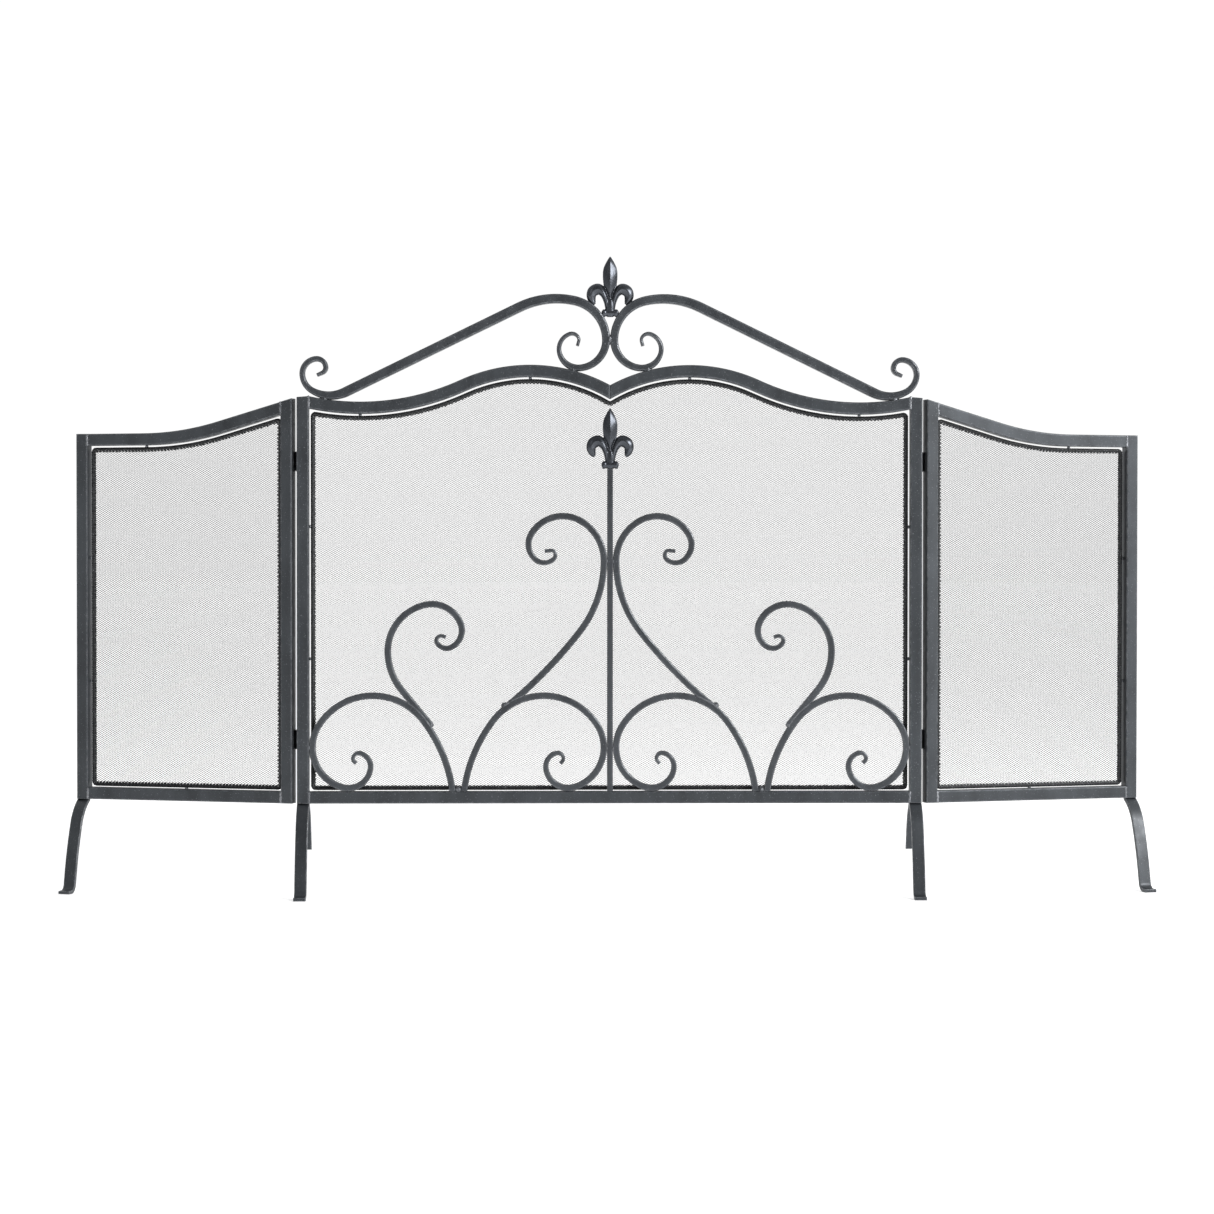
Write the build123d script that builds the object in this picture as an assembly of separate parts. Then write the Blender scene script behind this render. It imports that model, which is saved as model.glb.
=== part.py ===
from build123d import *
import os
from math import atan2, cos, degrees, radians, sin, sqrt, tan

# Three-panel fireplace screen: a fixed centre panel and two wings that fold back on vertical hinges.
# Millimetres, +Z up, floor at z = 0, the front faces -Y. The origin is on the floor, under the middle of
# the box that holds the whole screen. Flat outlines are drawn in X and Z.

# --- frame tube and heights -------------------------------------------------------------------------
tube = 15.0                 # square tube, outside
tube_wall = 1.2
tube_corner = 1.3           # radius of the tube's long edges
floor_gap = 115.0           # floor to the underside of every panel

# --- centre panel -----------------------------------------------------------------------------------
panel_width = 776.0
corner_height = 503.5       # panel underside to the top of the rail at the stiles
notch_rise = 15.5           # from there up to the V in the middle of the top rail
hump_rise = 40.5            # ... up to the two humps beside it
dip_fall = 5.5              # ... down to the two dips near the corners
hump_from_middle = 99.0
dip_from_side = 78.0

# --- wings ------------------------------------------------------------------------------------------
wing_length = 290.0
wing_inner_fall = 1.5       # centre panel's corner down to the top of the wing at its hinge
wing_outer_fall = 42.5      # ... down to the wing's outer corner
wing_slope = 15.5           # fall of the straight part of the wing's top rail, degrees
wing_sweep_radius = 370.0
fold_angle = 16.0           # how far the wings stand folded back

# --- mesh rim and mesh ------------------------------------------------------------------------------
rim_rod = 4.0
rim_gap = 2.2               # top rail to rim
rim_side_gap = 1.8          # stiles to rim
rim_base_gap = 1.2          # bottom rail to rim
rim_bend = 3.5              # bend radius of the rim's corners, on its centre line
mesh_thickness = 0.7
rim_clearance = 0.4         # rim behind the scrollwork
tack_radius = 2.2

# --- feet -------------------------------------------------------------------------------------------
foot_thickness = 4.0
toe_length = 7.0
rear_leg_clearance = 54.0   # floor to the cut end of the short rear legs

# --- scrollwork -------------------------------------------------------------------------------------
scroll_bar = 8.0            # face width of the front scrolls
scroll_depth = 8.0
scroll_front = -7.0         # front face of the scrollwork, from the middle of the tube
scroll_edge = 0.9           # bevel along the bar's edges
upright_width = 7.2
finial_headroom = 15.5      # tip of the finial on the upright to the V of the top rail
vee_gap = 6.5               # bar centre to the middle of each V, at the bottom rail
tall_upright = 400.0        # height of the upright that the tall scrolls' bends are drawn for

# --- crest ------------------------------------------------------------------------------------------
crest_bar = 12.0
crest_depth = 12.0
crest_edge = 1.3
crest_weld_inset = 34.0     # panel side to the outer curl's weld
shoulder_turn = 12.3        # heading of the crest where its two shoulder arcs meet, degrees

# --- finials ----------------------------------------------------------------------------------------
finial_depth = 10.0
collar_width = 21.0
collar_depth = 12.0
collar_height = 9.0
collar_round = 3.0

# --- hinges -----------------------------------------------------------------------------------------
hinge_inset = 79.0          # ends of the centre stiles to the middle of each hinge
hinge_height = 24.0
leaf_thickness = 0.6
leaf_width = 11.0
leaf_clearance = 0.3        # between the leaves when the screen is opened flat
pin_radius = 1.0
pin_clearance = 0.05        # radial, in the wing's knuckle
knuckle_clearance = 0.3     # between knuckles, along the pin
barrel_back = 2.2           # hinge axis behind the back faces of the tubes

# --- worked out from the sizes above ----------------------------------------------------------------
half_tube = tube / 2
panel_half = panel_width / 2
opening_half = panel_half - tube
rail_top = floor_gap + tube
foot_width = tube
rim_back = scroll_front + scroll_depth + rim_clearance + rim_rod / 2   # behind the middle of the tube
stile_gap = 2 * leaf_thickness + leaf_clearance
knuckle_radius = pin_radius + leaf_thickness + 0.1
axis_y = half_tube + barrel_back
notch_height = corner_height + notch_rise
hump_height = corner_height + hump_rise
dip_height = corner_height - dip_fall
wing_inner_height = corner_height - wing_inner_fall
wing_outer_height = corner_height - wing_outer_fall
hinge_heights = (floor_gap + hinge_inset, floor_gap + corner_height - hinge_inset)
notch_depth = hump_rise - notch_rise
hump_radius = (hump_from_middle**2 + notch_depth**2) / (2 * notch_depth)
dip_x = panel_half - dip_from_side
rail_fall = hump_height - dip_height
rail_turn = 2 * atan2(rail_fall, dip_x - hump_from_middle)
dip_radius = (dip_x - hump_from_middle) / sin(rail_turn) - hump_radius
hump_centre_z = floor_gap + hump_height - hump_radius
dip_centre_z = floor_gap + dip_height + dip_radius

os.makedirs("parts", exist_ok=True)
parts = {}


# --- drawing helpers --------------------------------------------------------------------------------
def polar(angle, length=1.0):
    """Vector of a length in a direction in degrees."""
    return Vector(length * cos(radians(angle)), length * sin(radians(angle)))


def walk(start, heading, bends):
    """Centre line of a bent bar, as (start, middle, end) of each bend, each a (point, heading).

    A bend is (radius, turn in degrees, width at its end), where a positive turn goes to the left.
    With radius 0 it is a straight run and the second value is its length.
    """
    stations = []
    point = Vector(*start)
    for radius, turn, _ in bends:
        here = [(point, heading)]
        for share in (0.5, 1.0):
            if radius == 0:
                here.append((point + polar(heading, turn * share), heading))
            else:
                side = 90 if turn > 0 else -90
                centre = point + polar(heading + side, radius)
                turned = heading + turn * share
                here.append((centre - polar(turned + side, radius), turned))
        stations.append(here)
        point, heading = here[-1]
    return stations


def locate(heading, bends, wanted):
    """Point where a bar that starts at 0, 0 has the wanted heading."""
    for (radius, turn, _), stations in zip(bends, walk((0, 0), heading, bends)):
        first, last = stations[0][1], stations[2][1]
        if radius and min(first, last) <= wanted <= max(first, last):
            side = 90 if turn > 0 else -90
            centre = stations[0][0] + polar(first + side, radius)
            return centre - polar(wanted + side, radius)


def bar_face(start, heading, width, bends):
    """Flat outline of a bent bar whose width changes evenly along each bend."""
    left, right = [], []
    for (radius, turn, end_width), stations in zip(bends, walk(start, heading, bends)):
        widths = (width, (width + end_width) / 2, end_width)
        a, b, c = [p + polar(h + 90, w / 2) for (p, h), w in zip(stations, widths)]
        d, e, f = [p - polar(h + 90, w / 2) for (p, h), w in zip(stations, widths)]
        if radius == 0:
            left.append(Line(a, c))
            right.append(Line(d, f))
        else:
            left.append(ThreePointArc(a, b, c))
            right.append(ThreePointArc(d, e, f))
        width = end_width
    ends = [Line(left[0] @ 0, right[0] @ 0), Line(left[-1] @ 1, right[-1] @ 1)]
    return make_face(left + right + ends)


def upright_solid(face, front, depth):
    """Solid on an X, Z outline, from y = front to y = front + depth."""
    return Pos(0, front, 0) * extrude(Plane.XZ * face, amount=-depth)


def round_long_edges(solid, radius):
    """Round the edges of the front and back faces."""
    by_depth = solid.edges().group_by(Axis.Y)
    return fillet(by_depth[0] + by_depth[-1], radius)


def bent_bar(start, heading, width, bends, front, depth, edge):
    """Solid bar bent flat in the plane of the panel, with a bevel along its four long edges."""
    full = bar_face(start, heading, width, bends)
    slim = bar_face(start, heading, width - 2 * edge, [(r, t, w - 2 * edge) for r, t, w in bends])
    places = ((slim, front), (full, front + edge), (full, front + depth - edge), (slim, front + depth))
    return loft([Pos(0, y, 0) * (Plane.XZ * face) for face, y in places], ruled=True)


def scaled(bends, factor):
    """The same bends, larger or smaller, with the bar's widths as they are."""
    return [(r * factor, t if r else t * factor, w) for r, t, w in bends]


def weld(x, y, z, radius):
    """Bead of weld metal, which reaches into both of the pieces that it joins."""
    return Pos(x, y, z) * Sphere(radius)


def group(solids):
    """Several separate solids that are one node."""
    return Compound(children=[solid for shape in solids for solid in shape.solids()])


def mirrored(shape):
    return mirror(shape, about=Plane.YZ)


# --- tubes ------------------------------------------------------------------------------------------
def stile(x_low, x_high, top_low, top_high):
    """Upright tube, closed at the top and open at the bottom; its top may slope."""
    bottom = floor_gap
    outline = Polyline((x_low, bottom), (x_high, bottom), (x_high, top_high), (x_low, top_low), close=True)
    outer = upright_solid(make_face(outline), -half_tube, tube)
    outer = fillet(outer.edges().filter_by(Axis.Z), tube_corner)
    hollow = tube - 2 * tube_wall
    depth = min(top_low, top_high) - bottom - 2 * tube_wall
    cavity = Box(hollow, hollow, depth, align=(Align.CENTER, Align.CENTER, Align.MIN))
    return outer - Pos((x_low + x_high) / 2, 0, bottom) * cavity


def straight_rail(x_low, x_high):
    """Bottom rail: a level tube, open at both ends, which the stiles cover."""
    length = x_high - x_low
    outer = fillet(Box(length, tube, tube).edges().filter_by(Axis.X), tube_corner)
    hollow = tube - 2 * tube_wall
    return Pos((x_low + x_high) / 2, 0, floor_gap + half_tube) * (outer - Box(length, hollow, hollow))


def bent_rail(edge_chain):
    """Top rail, open at both ends. edge_chain(inset) draws its top edge, lowered by inset."""
    def band(upper, lower):
        ends = [Line(upper[0] @ 0, lower[0] @ 0), Line(upper[-1] @ 1, lower[-1] @ 1)]
        return make_face(upper + lower + ends)

    outer = upright_solid(band(edge_chain(0), edge_chain(tube)), -half_tube, tube)
    outer = round_long_edges(outer, tube_corner)
    hollow_face = band(edge_chain(tube_wall), edge_chain(tube - tube_wall))
    hollow = upright_solid(hollow_face, tube_wall - half_tube, tube - 2 * tube_wall)
    return outer - hollow


# --- mesh rim and mesh ------------------------------------------------------------------------------
def rim_and_mesh(edges, corner_xs):
    """Round rod bent along a closed outline, and the sheet of mesh that it holds.

    The outline is the rod's centre line, and corner_xs are the places across it that have a corner.
    """
    face = make_face(edges)
    corners = [v for v in face.vertices() if any(abs(v.X - x) < 0.01 for x in corner_xs)]
    face = fillet(corners, rim_bend)
    path = Pos(0, rim_back, 0) * (Plane.XZ * face).faces()[0].outer_wire()
    section = Plane(path @ 0, z_dir=path % 0) * Circle(rim_rod / 2)
    rim = sweep(section, path=path)
    sheet = upright_solid(face, rim_back - mesh_thickness / 2, mesh_thickness) - rim
    return rim, sheet


# --- centre panel frame -----------------------------------------------------------------------------
def serpentine(inset, x_end=None):
    """Right half of the top rail's top edge, lowered by inset: over the hump and through the dip."""
    x_end = opening_half if x_end is None else x_end
    hump = hump_radius - inset
    dip = dip_radius + inset
    middle = (0, hump_centre_z + sqrt(hump**2 - hump_from_middle**2))
    joint = (hump_from_middle + hump * sin(rail_turn), hump_centre_z + hump * cos(rail_turn))
    end = (x_end, dip_centre_z - sqrt(dip**2 - (x_end - dip_x)**2))
    over = (hump_from_middle, hump_centre_z + hump)
    through = (dip_x, dip_centre_z - dip)
    return [ThreePointArc(middle, over, joint), ThreePointArc(joint, through, end)]


def corner_top(x):
    return dip_centre_z - sqrt(dip_radius**2 - (x - dip_x)**2)


top_rail = bent_rail(serpentine)
right_stile = stile(opening_half, panel_half, corner_top(opening_half), floor_gap + corner_height)
bottom_rail = straight_rail(-opening_half, opening_half)
parts["centre_right_stile"] = right_stile
parts["centre_left_stile"] = mirrored(right_stile)
parts["centre_bottom_rail"] = bottom_rail
parts["centre_right_top_rail"] = top_rail
parts["centre_left_top_rail"] = mirrored(top_rail)

rim_inset = rim_gap + rim_rod / 2
rim_side_inset = rim_side_gap + rim_rod / 2
rim_side = opening_half - rim_side_inset
rim_base = rail_top + rim_base_gap + rim_rod / 2
rim_right = serpentine(tube + rim_inset, rim_side)
rim_left = [mirrored(edge) for edge in rim_right]
rim_shoulder = (rim_right[-1] @ 1).Y
rim_sides = [Line((x, rim_base), (x, rim_shoulder)) for x in (-rim_side, rim_side)]
rim_bottom = Line((-rim_side, rim_base), (rim_side, rim_base))
rim_outline = rim_right + rim_left + rim_sides + [rim_bottom]
centre_rim, centre_mesh = rim_and_mesh(rim_outline, (-rim_side, 0, rim_side))
parts["centre_mesh_rim"] = centre_rim
parts["centre_mesh"] = centre_mesh

# --- feet -------------------------------------------------------------------------------------------
foot_bends = [(55, -40, foot_thickness), (400, -9, foot_thickness)]
foot_start_heading = -30.0
toe_radius = 10.0


def foot_face():
    """Side outline of a foot, forward along X: it curves down, then kicks out into a flat toe."""
    ankle_heading = foot_start_heading + sum(turn for _, turn, _ in foot_bends)
    knee = walk((0, floor_gap), foot_start_heading, foot_bends)[-1][2][0]
    toe_drop = toe_radius * (1 - cos(radians(ankle_heading)))
    shin = (knee.Y - foot_thickness / 2 - toe_drop) / sin(radians(-ankle_heading))
    overlap = foot_thickness
    start = -polar(foot_start_heading, overlap) + Vector(0, floor_gap)
    bends = [(0, overlap, foot_thickness)] + foot_bends
    bends += [(0, shin, foot_thickness), (toe_radius, -ankle_heading, foot_thickness),
              (0, toe_length, foot_thickness)]
    return bar_face(start, foot_start_heading, foot_thickness, bends)


def foot(x):
    """Front foot under a stile, cut flat where it is welded to the tube."""
    side = Plane(origin=(x, 0, 0), x_dir=(0, -1, 0), z_dir=(-1, 0, 0))
    solid = extrude(side * foot_face(), amount=foot_width / 2, both=True)
    solid = split(solid, bisect_by=Plane.XY.offset(floor_gap), keep=Keep.BOTTOM)
    return split(solid, bisect_by=Plane.XZ, keep=Keep.TOP)


def rear_leg(x):
    """Short leg behind a centre stile: the upper part of a foot, turned round and cut off level."""
    whole = mirror(foot(x), about=Plane.XZ)
    return split(whole, bisect_by=Plane.XY.offset(rear_leg_clearance), keep=Keep.TOP)


stile_middle = panel_half - half_tube
for side, sign in (("left", -1), ("right", 1)):
    parts["centre_" + side + "_front_foot"] = foot(sign * stile_middle)
    parts["centre_" + side + "_rear_leg"] = rear_leg(sign * stile_middle)

# --- front scrollwork, drawn for the left half ------------------------------------------------------
curl_start_bar = 0.85 * scroll_bar                 # the bar thins out towards the middle of each curl
curl_bar = 0.7 * scroll_bar
tip = 0.56 * scroll_bar
bay = opening_half - upright_width / 2      # stile to upright
half_bar = scroll_bar / 2

c_heading = 96.0
c_bends = [(186, 31, scroll_bar), (79, 111, scroll_bar), (51.5, 104, scroll_bar), (28, 18, scroll_bar),
           (28, 82, curl_start_bar), (17.5, 81, curl_bar), (7.5, 75, tip), (6, 82, tip), (0, 2.5, tip)]
c_width = -locate(c_heading, c_bends, 270).X
scroll_scale = (bay / 2 - half_bar - vee_gap) / c_width


def front_scroll(start, heading, bends):
    return bent_bar(start, heading, scroll_bar, bends, scroll_front, scroll_depth, scroll_edge)


c_bends = scaled(c_bends, scroll_scale)
c_side = locate(c_heading, c_bends, 270)
c_bottom = locate(c_heading, c_bends, 360)
c_start = (-opening_half + half_bar - c_side.X, rail_top + half_bar - c_bottom.Y)
c_outer = front_scroll(c_start, c_heading, c_bends)
c_outer = split(c_outer, bisect_by=Plane.XY.offset(rail_top), keep=Keep.TOP)
bay_middle = -(opening_half - bay / 2)
c_inner = mirror(c_outer, about=Plane.YZ.offset(bay_middle))

finial_top = 73.5
upright_height = floor_gap + notch_height - tube - finial_headroom - finial_top - rail_top
tall_scale = upright_height / tall_upright
tall_heading = 39.0
tall_bends = [(589, 13, scroll_bar), (143, 38, scroll_bar), (57.5, 59, scroll_bar),
              (45.2, 91, scroll_bar), (24.7, 80, curl_start_bar), (17, 80, curl_bar), (7.4, 70, tip),
              (4.6, 75, tip), (0, 8, tip)]
tall_bends = scaled(tall_bends, tall_scale)
tall_touch = locate(tall_heading, tall_bends, 90)
tall_x = -upright_width / 2 - half_bar - tall_touch.X
slice_of_c = c_inner & Pos(tall_x, 0, rail_top) * Box(0.1, 4 * tube, 2 * upright_height)
tall_start = (tall_x, slice_of_c.bounding_box().max.Z - half_bar)
tall_s = front_scroll(tall_start, tall_heading, tall_bends) - c_inner

short_heading = 129.5
short_bends = [(0, 55.5, scroll_bar), (77, -38.5, scroll_bar), (59, -79, scroll_bar), (38.4, -79, scroll_bar),
               (23.3, -88, curl_start_bar), (13.6, -84, curl_bar), (6.1, -60, tip), (5.5, -76, tip),
               (0, 5, tip)]
short_bends = scaled(short_bends, scroll_scale)
short_from_stile, short_from_rail = 150.4, 82.5     # lower end of the short scroll
short_start = (-opening_half + short_from_stile * scroll_scale, rail_top + short_from_rail * scroll_scale)
short_s = front_scroll(short_start, short_heading, short_bends) - c_outer

upright = Box(upright_width, scroll_depth, upright_height, align=(Align.CENTER, Align.MIN, Align.MIN))
upright = fillet(upright.edges().filter_by(Axis.Z), scroll_edge)
upright = Pos(0, scroll_front, rail_top) * upright

parts["upright_bar"] = upright
for name, solid in (("outer_c_scroll", c_outer), ("inner_c_scroll", c_inner),
                    ("tall_s_scroll", tall_s), ("short_s_scroll", short_s)):
    parts["left_" + name] = solid
    parts["right_" + name] = mirrored(solid)


# --- crest, drawn for the left half -----------------------------------------------------------------
# The big curl touches its twin at the middle and rests on the hump. The outer curl rests in the dip.
# The straight bar between them is the line that touches both curls.
middle_width = crest_bar * 5 / 6          # where the two big curls touch
inner_width = crest_bar * 2 / 3
big_curl, shoulder, crown, outer_curl = 35.0, 49.6, 105.0, 44.0     # bend radii of the centre line
inner_curl = 24.3
hook_width, thin, tip = 0.55 * crest_bar, crest_bar / 2, crest_bar / 3
tail_bends = [(inner_curl, -24, inner_width), (inner_curl, -58, thin), (19.9, -81, 0.8 * thin),
              (9.2, -75, tip), (6.5, -52, tip), (0, 6, tip)]

seat_turn = -90.0 - 86.0                  # heading where the big curl tightens into the inner curl
curl_offset = polar(seat_turn + 90, big_curl - inner_curl)
seat_reach = hump_radius + inner_curl + inner_width / 2
seat_x = -middle_width / 2 - big_curl + curl_offset.X + hump_from_middle
touch = Vector(-middle_width / 2, hump_centre_z + sqrt(seat_reach**2 - seat_x**2) - curl_offset.Y)

shoulder_out = polar(90 - shoulder_turn)
crown_centre = touch - Vector(shoulder, 0) - shoulder_out * (crown - shoulder)
rest_reach = dip_radius - outer_curl - middle_width / 2
rest_lean = (dip_from_side - crest_weld_inset) / dip_radius
rest_centre = Vector(-dip_x - rest_reach * rest_lean, dip_centre_z - rest_reach * sqrt(1 - rest_lean**2))
span = crown_centre - rest_centre
straight = sqrt(span.length**2 - (outer_curl + crown)**2)
crest_slope = degrees(atan2(span.Y, span.X) + atan2(outer_curl + crown, straight))

crest_heading = 24.0
crest_bends = [(0, 7, 0.8 * thin), (7.3, 68, thin), (10.8, 90, hook_width), (18.5, 94, hook_width),
               (25, 54, inner_width), (outer_curl, 30, middle_width), (outer_curl, crest_slope, crest_bar),
               (0, straight, crest_bar), (crown, -crest_slope - shoulder_turn, 0.92 * crest_bar),
               (shoulder, shoulder_turn - 90, middle_width), (big_curl, -86, inner_width)] + tail_bends
to_touch = len(crest_bends) - len(tail_bends) - 1
crest_start = touch - walk((0, 0), crest_heading, crest_bends[:to_touch])[-1][2][0]
crest_left = bent_bar(crest_start, crest_heading, tip, crest_bends, -crest_depth / 2, crest_depth, crest_edge)
parts["crest_left_scroll"] = crest_left
parts["crest_right_scroll"] = mirrored(crest_left)


# --- finials ----------------------------------------------------------------------------------------
waist_low, waist_high, petal_wide = (6.0, 7.0), (5.5, 32.0), (9.3, 52.0)
lobe_bends = [(0, 10.5, 7.5), (11.3, -78, 10.5), (9.5, -125, 6.5), (14, -20, 3)]
lobe_start, lobe_heading, lobe_root = (4.0, 14.0), 78.0, 6.0
lobe_inset, lobe_edge = 1.0, 1.0


def finial(middle_y, base_z):
    """Cast fleur-de-lis: a pointed middle petal, two curled side petals and a collar."""
    right_side = [ThreePointArc(waist_low, (4.2, 20), waist_high),
                  ThreePointArc(waist_high, (9.0, 43), petal_wide),
                  ThreePointArc(petal_wide, (6.4, 64), (0, finial_top))]
    left_side = [mirrored(edge) for edge in right_side]
    foot_line = Line((-waist_low[0], waist_low[1]), waist_low)
    petal = upright_solid(make_face(right_side + left_side + [foot_line]), -finial_depth / 2, finial_depth)
    lobe = bent_bar(lobe_start, lobe_heading, lobe_root, lobe_bends,
                    lobe_inset - finial_depth / 2, finial_depth - 2 * lobe_inset, lobe_edge)
    collar = Box(collar_width, collar_depth, collar_height, align=(Align.CENTER, Align.CENTER, Align.MIN))
    collar = fillet(collar.edges().filter_by(Axis.Z), collar_round)
    return Pos(0, middle_y, base_z) * (petal + lobe + mirrored(lobe) + collar)


bar_finial_y = -3.5
collar_sink = 4.5                   # how far the collar's corners sit in between the two big curls
curl_outside = shoulder + crest_bar / 2 - 0.8
collar_rest = sqrt(curl_outside**2 - (shoulder + middle_width / 2 - collar_width / 2)**2)
crest_right = mirrored(crest_left)
parts["bar_finial"] = finial(bar_finial_y, rail_top + upright_height)
parts["crest_finial"] = finial(0, touch.Y + collar_rest - collar_sink) - crest_left - crest_right

# --- welds of the scrollwork and the crest ----------------------------------------------------------
bead, vee_bead, crest_bead = 4.2, 4.6, 6.6
bead_y = scroll_front + scroll_depth / 2
side_z = c_start[1] + c_side.Y
tall_z = tall_start[1] + tall_touch.Y
left_welds = [
    weld(-opening_half, bead_y, side_z, bead),
    weld(bay_middle, bead_y - 0.6, rail_top + 2, vee_bead),
    weld(-upright_width / 2, bead_y, side_z, bead),
    weld(-upright_width / 2, bead_y, tall_z, bead),
    weld(short_start[0], bead_y, short_start[1], bead),
    weld(tall_start[0], bead_y, tall_start[1] + half_bar, bead),
]
parts["scroll_welds"] = group(left_welds + [mirrored(shape) for shape in left_welds])

seat_lean = seat_x / seat_reach
outer_rest = (crest_weld_inset - panel_half, corner_top(panel_half - crest_weld_inset))
inner_rest = (seat_lean * hump_radius - hump_from_middle,
              hump_centre_z + hump_radius * sqrt(1 - seat_lean**2))
crest_welds = [weld(x, 0, z, crest_bead) for x, z in (outer_rest, inner_rest)]
crest_welds += [mirrored(shape) for shape in crest_welds]
crest_welds.append(weld(0, 0, touch.Y, crest_bead))
parts["crest_welds"] = group(crest_welds)

# --- tacks that hold the centre rim in its frame ----------------------------------------------------
tack_gap = rim_gap / 2
side_tack_gap = rim_side_gap / 2
base_tack_height = rail_top + rim_base_gap / 2


def tack(x, z):
    return weld(x, rim_back, z, tack_radius)


tacks = [tack(side_tack_gap - opening_half, rail_top + share * (rim_shoulder - rail_top))
         for share in (0.35, 0.7)]
tacks += [tack(-x, floor_gap + height - tube - tack_gap)
          for x, height in ((hump_from_middle, hump_height), (dip_x, dip_height))]
tacks.append(tack(bay_middle, base_tack_height))
parts["centre_rim_tacks"] = group(tacks + [mirrored(shape) for shape in tacks])

# --- hinges, with the pin's axis on the local Z axis and the centre panel on the -X side ------------
third = hinge_height / 3
knuckle_gap = knuckle_clearance / 2
frame_knuckles = [(0, third - knuckle_gap), (2 * third + knuckle_gap, hinge_height)]
wing_knuckles = [(third + knuckle_gap, 2 * third - knuckle_gap)]
relief = knuckle_radius + 0.4       # the plain part of a leaf stays clear of the other leaf's knuckles


def post(radius, low, high):
    return Pos(0, 0, low) * Cylinder(radius, high - low, align=(Align.CENTER, Align.CENTER, Align.MIN))


def leaf_plate(back, front, low, high):
    plate = Box(leaf_thickness, back - front, high - low, align=(Align.MIN, Align.MIN, Align.MIN))
    return Pos(-stile_gap / 2, front, low) * plate


def leaf(knuckles, bore):
    """One hinge leaf, on the -X side of the pin."""
    shape = leaf_plate(-relief, -barrel_back - leaf_width, 0, hinge_height)
    for low, high in knuckles:
        shape = shape + leaf_plate(0, -relief, low, high) + post(knuckle_radius, low, high)
    return shape - post(bore, 0, hinge_height)


def both_hinges(shape):
    """The same piece at both hinge heights."""
    return group([Pos(0, 0, height - hinge_height / 2) * shape for height in hinge_heights])


pin_end = 0.8
pin = post(pin_radius, -pin_end, hinge_height + pin_end)
pin = chamfer(pin.edges().filter_by(GeomType.CIRCLE), 0.3)
frame_leaves = both_hinges(leaf(frame_knuckles, pin_radius))
wing_leaves = both_hinges(mirrored(leaf(wing_knuckles, pin_radius + pin_clearance)))
pins = both_hinges(pin)

# --- right wing, drawn from its hinge side, in the plane of its own tubes ---------------------------
slope = radians(wing_slope)
straight_fall = wing_inner_height - wing_outer_height - wing_sweep_radius * (1 - cos(slope))
sweep_end = straight_fall / tan(slope) + wing_sweep_radius * sin(slope)
sweep_centre_z = floor_gap + wing_outer_height + wing_sweep_radius
wing_far = wing_length - tube


def swept(inset, x_start=tube, x_end=wing_far):
    """Top edge of the wing's top rail, lowered by inset: a straight fall, a hollow sweep, a level run."""
    reach = wing_sweep_radius + inset
    begin = (x_start, floor_gap + wing_inner_height - x_start * tan(slope) - inset / cos(slope))
    sweep = [(sweep_end - reach * sin(turn), sweep_centre_z - reach * cos(turn))
             for turn in (slope, slope / 2, 0)]
    return [Line(begin, sweep[0]), ThreePointArc(*sweep), Line(sweep[2], (x_end, sweep[2][1]))]


wing = {}
inner_top = floor_gap + wing_inner_height
outer_top = floor_gap + wing_outer_height
wing["inner_stile"] = stile(0, tube, inner_top, inner_top - tube * tan(slope))
wing["outer_stile"] = stile(wing_far, wing_length, outer_top, outer_top)
wing["bottom_rail"] = straight_rail(tube, wing_far)
wing["top_rail"] = bent_rail(swept)
wing["front_foot"] = foot(wing_length - half_tube)

near, far = tube + rim_side_inset, wing_far - rim_side_inset
rim_top = swept(tube + rim_inset, near, far)
rim_ends = [Line((near, rim_base), rim_top[0] @ 0), Line((far, rim_base), rim_top[-1] @ 1)]
rim_bottom = Line((near, rim_base), (far, rim_base))
wing_rim, wing_mesh = rim_and_mesh(rim_top + rim_ends + [rim_bottom], (near, far))
wing["mesh_rim"] = wing_rim
wing["mesh"] = wing_mesh
wing_tacks = [tack(x, rail_top + share * (wing_outer_height - tube))
              for x in (tube + side_tack_gap, wing_far - side_tack_gap) for share in (0.3, 0.65)]
wing_tacks.append(tack(wing_length / 2, base_tack_height))
wing_tacks.append(tack(sweep_end, outer_top - tube - tack_gap))
wing["rim_tacks"] = group(wing_tacks)

# --- placing: the wing folds back about its pin, then everything is centred front to back -----------
pin_place = Pos(panel_half + stile_gap / 2, axis_y, 0)
wing_place = pin_place * Rot(0, 0, fold_angle)
wing_from_pin = Pos(stile_gap / 2, -axis_y, 0)
right_side_parts = {"wing_" + name: wing_place * wing_from_pin * shape for name, shape in wing.items()}
right_side_parts["hinge_wing_leaves"] = wing_place * wing_leaves
right_side_parts["hinge_frame_leaves"] = pin_place * frame_leaves
right_side_parts["hinge_pins"] = pin_place * pins
for name, shape in right_side_parts.items():
    parts["right_" + name] = shape
    parts["left_" + name] = mirrored(shape)

whole = [shape.bounding_box() for shape in parts.values()]
middle_y = (min(box.min.Y for box in whole) + max(box.max.Y for box in whole)) / 2
for name, shape in parts.items():
    export_step(Pos(0, -middle_y, 0) * shape, "parts/" + name + ".step")
print("hinge axis at x = +-%.3f, y = %.3f" % (panel_half + stile_gap / 2, axis_y - middle_y))
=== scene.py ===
import math
import random

import bmesh
import bpy
import numpy as np
from mathutils import Matrix, Vector, noise


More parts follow.
